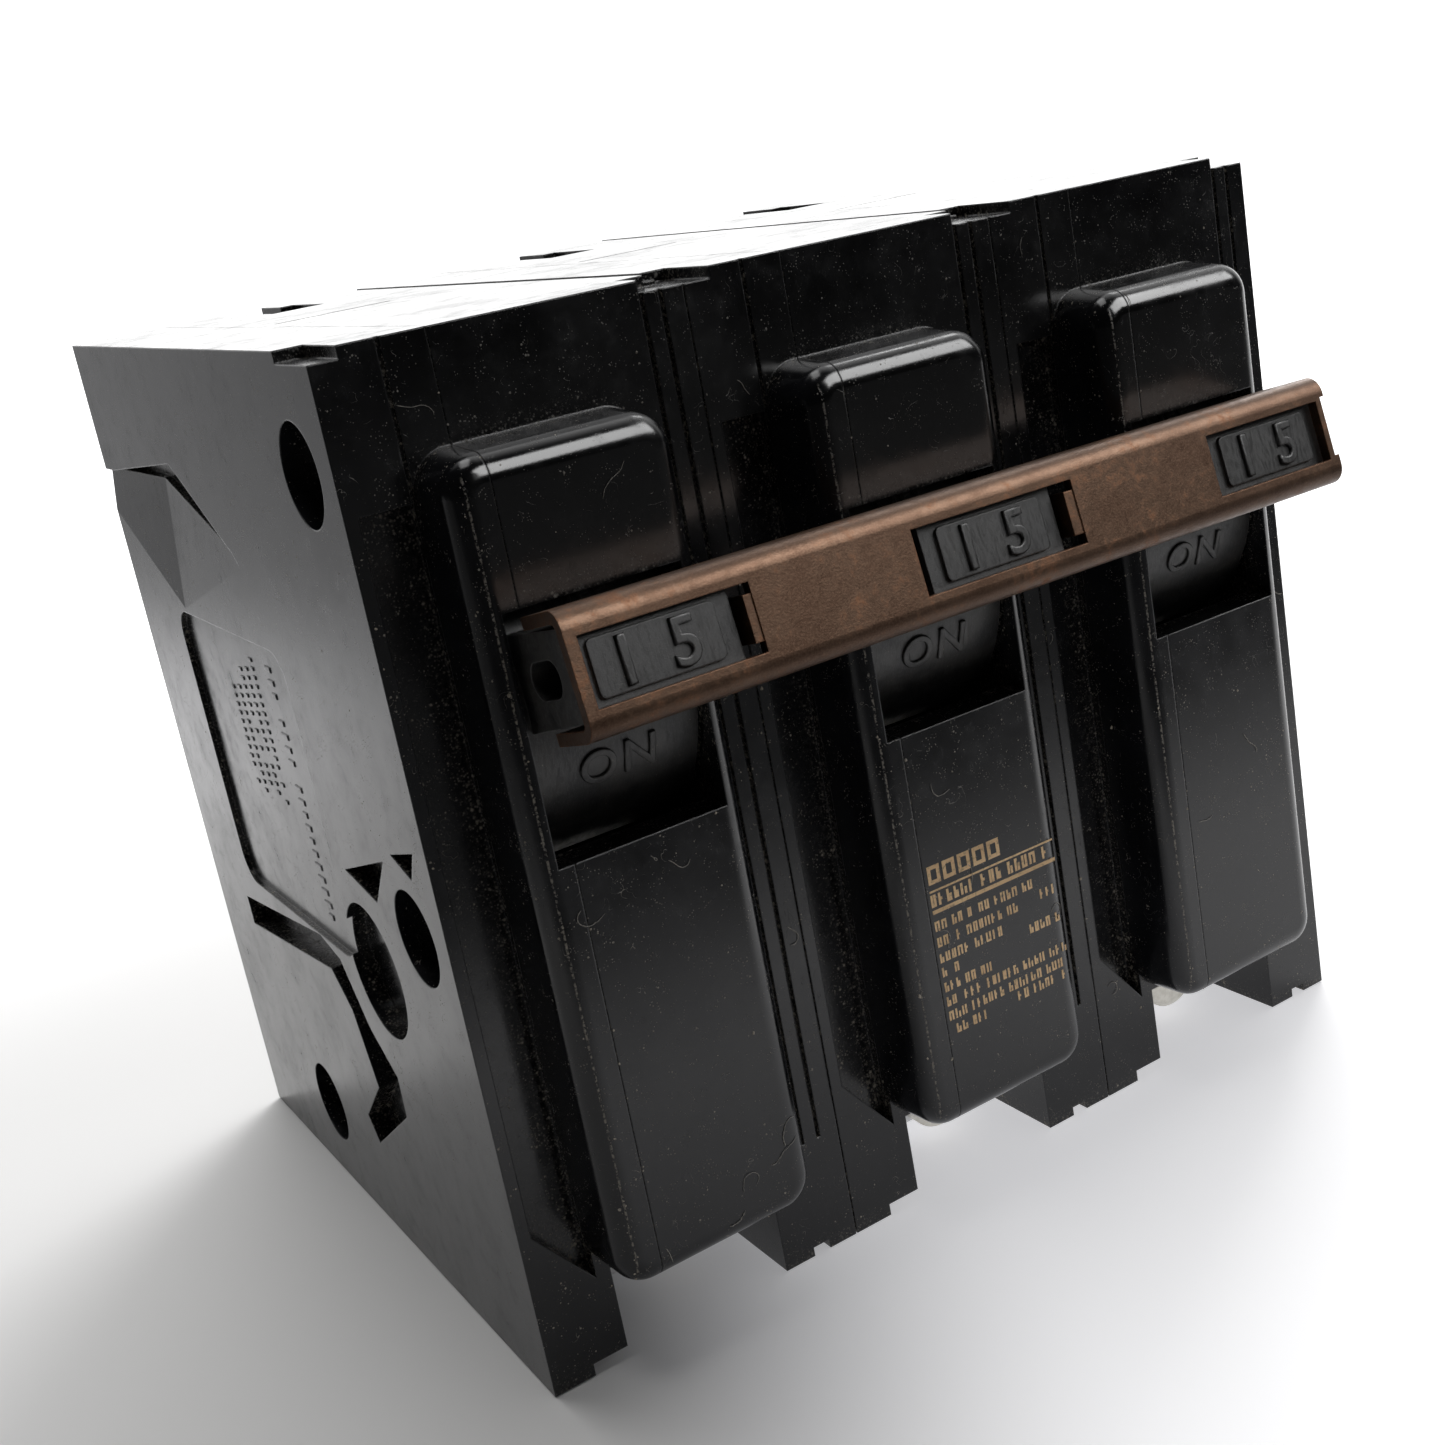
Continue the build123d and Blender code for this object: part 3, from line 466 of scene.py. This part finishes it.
def print_row(made, draw, x0, x1, z, height, y, thick, share=1.0):
    """A row of printed strokes in word-like groups that spell nothing."""
    stroke = height * 0.21
    x = x0
    while x < x1 - height * 0.4:
        letters = draw.randint(2, 7)
        for _ in range(letters):
            if x > x1 - height * 0.4:
                break
            wide = height * draw.uniform(0.42, 0.6)
            tall = height * draw.uniform(0.9, 1.0)
            if draw.random() < share:
                slab(made, x, x + stroke, z - tall / 2, z + tall / 2, y, thick)
                kind = draw.choice((0.0, 0.5, 1.0, 2.0))
                if kind <= 1.0:
                    bar = z - tall / 2 + (tall - stroke) * kind
                    slab(made, x + stroke, x + wide - stroke, bar, bar + stroke, y, thick)
                if kind != 0.5:
                    top = z + tall * draw.choice((0.1, 0.5))
                    slab(made, x + wide - stroke, x + wide, z - tall / 2, top, y, thick)
            x += wide + height * 0.2
        x += height * 0.45


def closed_mesh(name, made):
    bmesh.ops.recalc_face_normals(made, faces=made.faces)
    mesh = bpy.data.meshes.new(name)
    made.to_mesh(mesh)
    made.free()
    return mesh


PRINT_LEFT, PRINT_RIGHT, PRINT_TOP = -4.75, 6.7, 28.0
INK = 0.015
draw = random.Random(5)
ink = bmesh.new()
ink_y = BEZEL_FRONT + 0.002
wide = PRINT_RIGHT - PRINT_LEFT
for k in range(5):
    left = PRINT_LEFT + 0.05 + k * 1.36
    for bar in (0.0, 1.1):
        slab(ink, left + 0.3, left + 0.8, PRINT_TOP - 1.3 + bar, PRINT_TOP - 1.0 + bar, ink_y, INK)
    for post in (0.0, 0.8):
        slab(ink, left + post, left + post + 0.3, PRINT_TOP - 1.3, PRINT_TOP + 0.1, ink_y, INK)
slab(ink, PRINT_LEFT, PRINT_RIGHT, PRINT_TOP - 1.9, PRINT_TOP - 1.75, ink_y, INK)
print_row(ink, draw, PRINT_LEFT, PRINT_RIGHT - 0.3, PRINT_TOP - 2.55, 1.0, ink_y, INK)
slab(ink, PRINT_LEFT, PRINT_RIGHT, PRINT_TOP - 3.55, PRINT_TOP - 3.25, ink_y, INK)
ROWS = [
    (4.5, 0.0, 0.83), (5.75, 0.0, 0.68), (5.6, 0.84, 1.0), (7.0, 0.0, 0.56), (8.1, 0.0, 0.2),
    (7.9, 0.72, 1.0), (9.3, 0.0, 0.38), (10.45, 0.0, 1.0), (11.6, 0.0, 1.0), (12.75, 0.0, 0.3),
    (12.6, 0.55, 0.96),
]
for down, start, end in ROWS:
    print_row(ink, draw, PRINT_LEFT + wide * start, PRINT_LEFT + wide * end, PRINT_TOP - down, 0.78,
              ink_y, INK, 0.95)
mesh_piece("face_print", closed_mesh("face_print", ink), worn_print(), "case")


# ---------------------------------------------------------------- lint and crumbs

def surface(*names):
    """Search tree over some CAD nodes, in metres."""
    points = []
    faces = []
    for name in names:
        mesh = nodes[name].data
        first = len(points)
        points += [v.co.copy() for v in mesh.vertices]
        faces += [[first + i for i in p.vertices] for p in mesh.polygons]
    return BVHTree.FromPolygons(points, faces)


front = surface(*(f"case_{half}_{pole}" for half in ("cover", "base") for pole in (1, 2, 3)))


def drop(x, z):
    """Where a line from the front meets the case, in mm, or None, keeping clear of its two ends."""
    if abs(x) > DUST_REACH:
        return None
    hit = front.ray_cast(Vector((x * MM, -0.1, z * MM)), Vector((0, 1, 0)), 0.12)[0]
    if hit is None or hit.y / MM > CASE_FRONT + FACE_SLACK:
        return None
    return hit / MM


def thread(made, path, radius):
    """Four-sided tube with closed ends along a path in mm."""
    rings = []
    for i, point in enumerate(path):
        ahead = path[min(i + 1, len(path) - 1)] - path[max(i - 1, 0)]
        side = ahead.cross(Vector((0, 1, 0))).normalized()
        rise = side.cross(ahead).normalized()
        thin = radius * (0.5 if i in (0, len(path) - 1) else 1.0)
        rings.append([made.verts.new((point + (side * cos(t) + rise * sin(t)) * thin) * MM)
                      for t in (0, pi / 2, pi, 3 * pi / 2)])
    for a, b in zip(rings, rings[1:]):
        for k in range(4):
            made.faces.new((a[k], a[(k + 1) % 4], b[(k + 1) % 4], b[k]))
    made.faces.new(rings[0][::-1])
    made.faces.new(rings[-1])


def fibre(made, draw, x, z, steps, stride, curl, radius):
    """Curly hair lying on the case's front."""
    heading = draw.uniform(0, 2 * pi)
    bend = draw.uniform(-curl, curl)
    path = []
    for _ in range(steps):
        place = drop(x, z)
        if place is None:
            break
        lift = radius * 0.7 + (0.1 * draw.random() if path else 0.0)
        if path and abs(place.y - lift - path[-1].y) > 0.3:
            break
        path.append(Vector((x, place.y - lift, z)))
        bend = max(-curl, min(curl, bend + draw.uniform(-curl, curl) * 0.5))
        heading += bend
        x += stride * cos(heading)
        z += stride * sin(heading)
    if len(path) > 4:
        thread(made, path, radius)


draw = random.Random(11)
lint = bmesh.new()
for pole in range(POLES):
    for _ in range(26):
        local = draw.choice((draw.uniform(5.4, 20), draw.uniform(0.4, 4.4), draw.uniform(20.8, 25), SEAM))
        fibre(lint, draw, pole_x(pole, local), draw.uniform(6, 69), draw.randint(6, 16), 0.2, 0.42,
              draw.uniform(0.018, 0.032))
mesh_piece("lint_fibres", closed_mesh("lint_fibres", lint),
           dusty("lint", (0.42, 0.39, 0.34), (0.24, 0.22, 0.19)), "case")


def crumb(made, draw, centre, size):
    """Rough grain with uneven corners."""
    grain = bmesh.ops.create_icosphere(made, subdivisions=1, radius=size * MM)["verts"]
    for vertex in grain:
        vertex.co *= draw.uniform(0.6, 1.25)
        vertex.co.y *= 0.6
        vertex.co += centre * MM


draw = random.Random(23)
crumbs = bmesh.new()
for pole in range(POLES):
    for _ in range(75):
        local, spread = draw.choice(((5.9, 0.25), (4.5, 0.3), (21.0, 0.4), (0.2, 0.3), (SEAM, 0.15), (12, 7)))
        x = pole_x(pole, local + draw.uniform(-spread, spread))
        place = drop(x, draw.uniform(5, 70))
        if place is not None:
            size = draw.uniform(0.03, 0.085) if draw.random() < 0.85 else draw.uniform(0.09, 0.16)
            crumb(crumbs, draw, place, size)
mesh_piece("crumbs", closed_mesh("crumbs", crumbs),
           dusty("crumb", (0.48, 0.42, 0.33), (0.22, 0.19, 0.15)), "case")


# ---------------------------------------------------------------- raised dashes on the side field

side = surface("case_cover_1")


def side_hit(depth, height):
    start = Vector((-0.05, (CASE_FRONT + depth) * MM, height * MM))
    return side.ray_cast(start, Vector((1, 0, 0)), 0.05)[0]


dashes = bmesh.new()
draw = random.Random(3)
# one row of tall bars beside a block of short ones, all running down the face
BAR_ROWS = [(26.9, 2.0, 0.55, 49.0, 28.5)] + [(31.2 + 1.75 * k, 1.0, 0.38, 49.5 - k, 37.0) for k in range(5)]
BAR_PROUD = 0.16
for depth, wide, tall, start, end in BAR_ROWS:
    height = start
    while height > end:
        height -= tall * 1.9
        if draw.random() < 0.16:
            continue
        length = wide * draw.uniform(0.6, 1.0)
        hit = side_hit(depth, height)
        if hit is None or hit.x / MM > CASE_LEFT + FACE_SLACK:
            continue
        box = bmesh.ops.create_cube(dashes, size=1.0)["verts"]
        for vertex in box:
            flare = 1.0 if vertex.co.x > 0 else 0.7
            vertex.co = Vector((hit.x + vertex.co.x * BAR_PROUD * MM,
                                (CASE_FRONT + depth + vertex.co.y * length * flare) * MM,
                                (height + vertex.co.z * tall * flare) * MM))
mesh_piece("side_dashes", closed_mesh("side_dashes", dashes), MATERIALS["case"], "case")


# ---------------------------------------------------------------- floor, light and camera

FLOOR_HALF = 4.0
floor_mesh = bpy.data.meshes.new("floor")
corners = [(x * FLOOR_HALF, y * FLOOR_HALF, 0) for x, y in ((-1, -1), (1, -1), (1, 1), (-1, 1))]
floor_mesh.from_pydata(corners, [], [(0, 1, 2, 3)])
floor = bpy.data.objects.new("floor", floor_mesh)
floor.location.z = -0.1 * MM
scene.collection.objects.link(floor)
paper = Look("paper_floor")
fleck = paper.noise(0.02, 3, 0.5)
spot = paper.node("ShaderNodeSeparateXYZ")
paper.link(paper.mm, spot.inputs[0])
# painted shade and painted light: the sheet is painted dark well in front of the object, and is painted as an
# emitting white behind it and to its right
# painted shade: near falls from 1 by the object to 0 well in front, where the sheet is painted near-black
near = paper.step(spot.outputs["Y"], -115.0, -60.0)
rightward = paper.math("SUBTRACT", paper.math("MULTIPLY", spot.outputs["X"], 0.9),
                       paper.math("MULTIPLY", spot.outputs["Y"], 0.3))
painted_glow = paper.math("MULTIPLY", paper.step(rightward, -30.0, 8.0, (0.0, 0.52)), near)
painted_glow = paper.math("MAXIMUM", painted_glow, paper.step(spot.outputs["Y"], 50.0, 230.0))
leftward = paper.math("SUBTRACT", spot.outputs["X"], paper.math("MULTIPLY", spot.outputs["Y"], 0.18))
# painted shade: the sheet's dark front and its emission are both dimmed far to the left
painted_left_dimming = paper.step(leftward, -170.0, -75.0, (0.2, 1.0))
painted_glow = paper.math("MULTIPLY", painted_glow, painted_left_dimming)
near = paper.math("MULTIPLY", near, painted_left_dimming)
sheet = paper.mix(fleck, (0.74, 0.735, 0.73), (0.78, 0.775, 0.77))
# painted shade in the base colour, painted light in the emission
paper.set(Base_Color=paper.mix(near, (0.01, 0.01, 0.01), sheet), Roughness=0.8,
          Emission_Color=(0.97, 0.97, 1.0, 1.0), Emission_Strength=paper.math("MULTIPLY", painted_glow, 1.05))
floor_mesh.materials.append(paper.material)

# the room is bright towards the back right and above, and dark towards the front
ROOM_BRIGHT_WAY = Vector((0.50, 0.80, 0.45)).normalized()
ROOM_DARK, ROOM_BRIGHT = (0.3, 0.012), (0.9, 2.0)  # (cosine from the bright way, strength)
world = bpy.data.worlds.new("studio")
scene.world = world
world.use_nodes = True
tree = world.node_tree
tree.nodes.clear()
ambient = tree.nodes.new("ShaderNodeBackground")
ambient.inputs["Color"].default_value = (1.0, 1.0, 1.0, 1.0)
direction = tree.nodes.new("ShaderNodeTexCoord")
facing = tree.nodes.new("ShaderNodeVectorMath")
facing.operation = "DOT_PRODUCT"
facing.inputs[1].default_value = ROOM_BRIGHT_WAY
shade = tree.nodes.new("ShaderNodeMapRange")
shade.interpolation_type = "SMOOTHSTEP"
shade.inputs["From Min"].default_value, shade.inputs["To Min"].default_value = ROOM_DARK
shade.inputs["From Max"].default_value, shade.inputs["To Max"].default_value = ROOM_BRIGHT
world_out = tree.nodes.new("ShaderNodeOutputWorld")
tree.links.new(direction.outputs["Generated"], facing.inputs[0])
tree.links.new(facing.outputs["Value"], shade.inputs["Value"])
tree.links.new(shade.outputs["Result"], ambient.inputs["Strength"])
tree.links.new(ambient.outputs[0], world_out.inputs[0])


def soft_light(name, place, target, size, power):
    lamp = bpy.data.lights.new(name, "AREA")
    lamp.shape = "RECTANGLE"
    lamp.size, lamp.size_y = size
    lamp.energy = power
    holder = bpy.data.objects.new(name, lamp)
    scene.collection.objects.link(holder)
    holder.location = place
    holder.rotation_euler = (Vector(target) - Vector(place)).to_track_quat("-Z", "Y").to_euler()
    return holder


soft_light("key", (0.42, 0.34, 0.50), (0, 0, 0.03), (0.30, 0.30), 2.4)
soft_light("overhead", (-0.05, 0.02, 0.62), (0, 0, 0.03), (0.36, 0.20), 0.9)
# tall card in front of the object, seen only as a reflection in its rounded edges
card = soft_light("card", (0.33, -0.42, 0.45), (0, -0.027, 0.064), (0.62, 0.40), 9.5)
card.visible_diffuse = False

# the camera stands where a fit to the case's corners puts it
SENSOR_MM, LENS_MM = 36, 46.339
SHIFT_X, SHIFT_Y = -0.06623, -0.04567
EYE_PLACE = (-0.071858, -0.130155, 0.079519)
EYE_TURN_DEGREES = (73.8275, 9.4426, -33.8489)
camera = bpy.data.cameras.new("camera")
camera.sensor_width = SENSOR_MM
camera.lens = LENS_MM
camera.shift_x = SHIFT_X
camera.shift_y = SHIFT_Y
camera.clip_start = 5 * MM
eye = bpy.data.objects.new("camera", camera)
scene.collection.objects.link(eye)
eye.location = EYE_PLACE
eye.rotation_euler = [radians(angle) for angle in EYE_TURN_DEGREES]
scene.camera = eye
scene.view_settings.view_transform = "Standard"
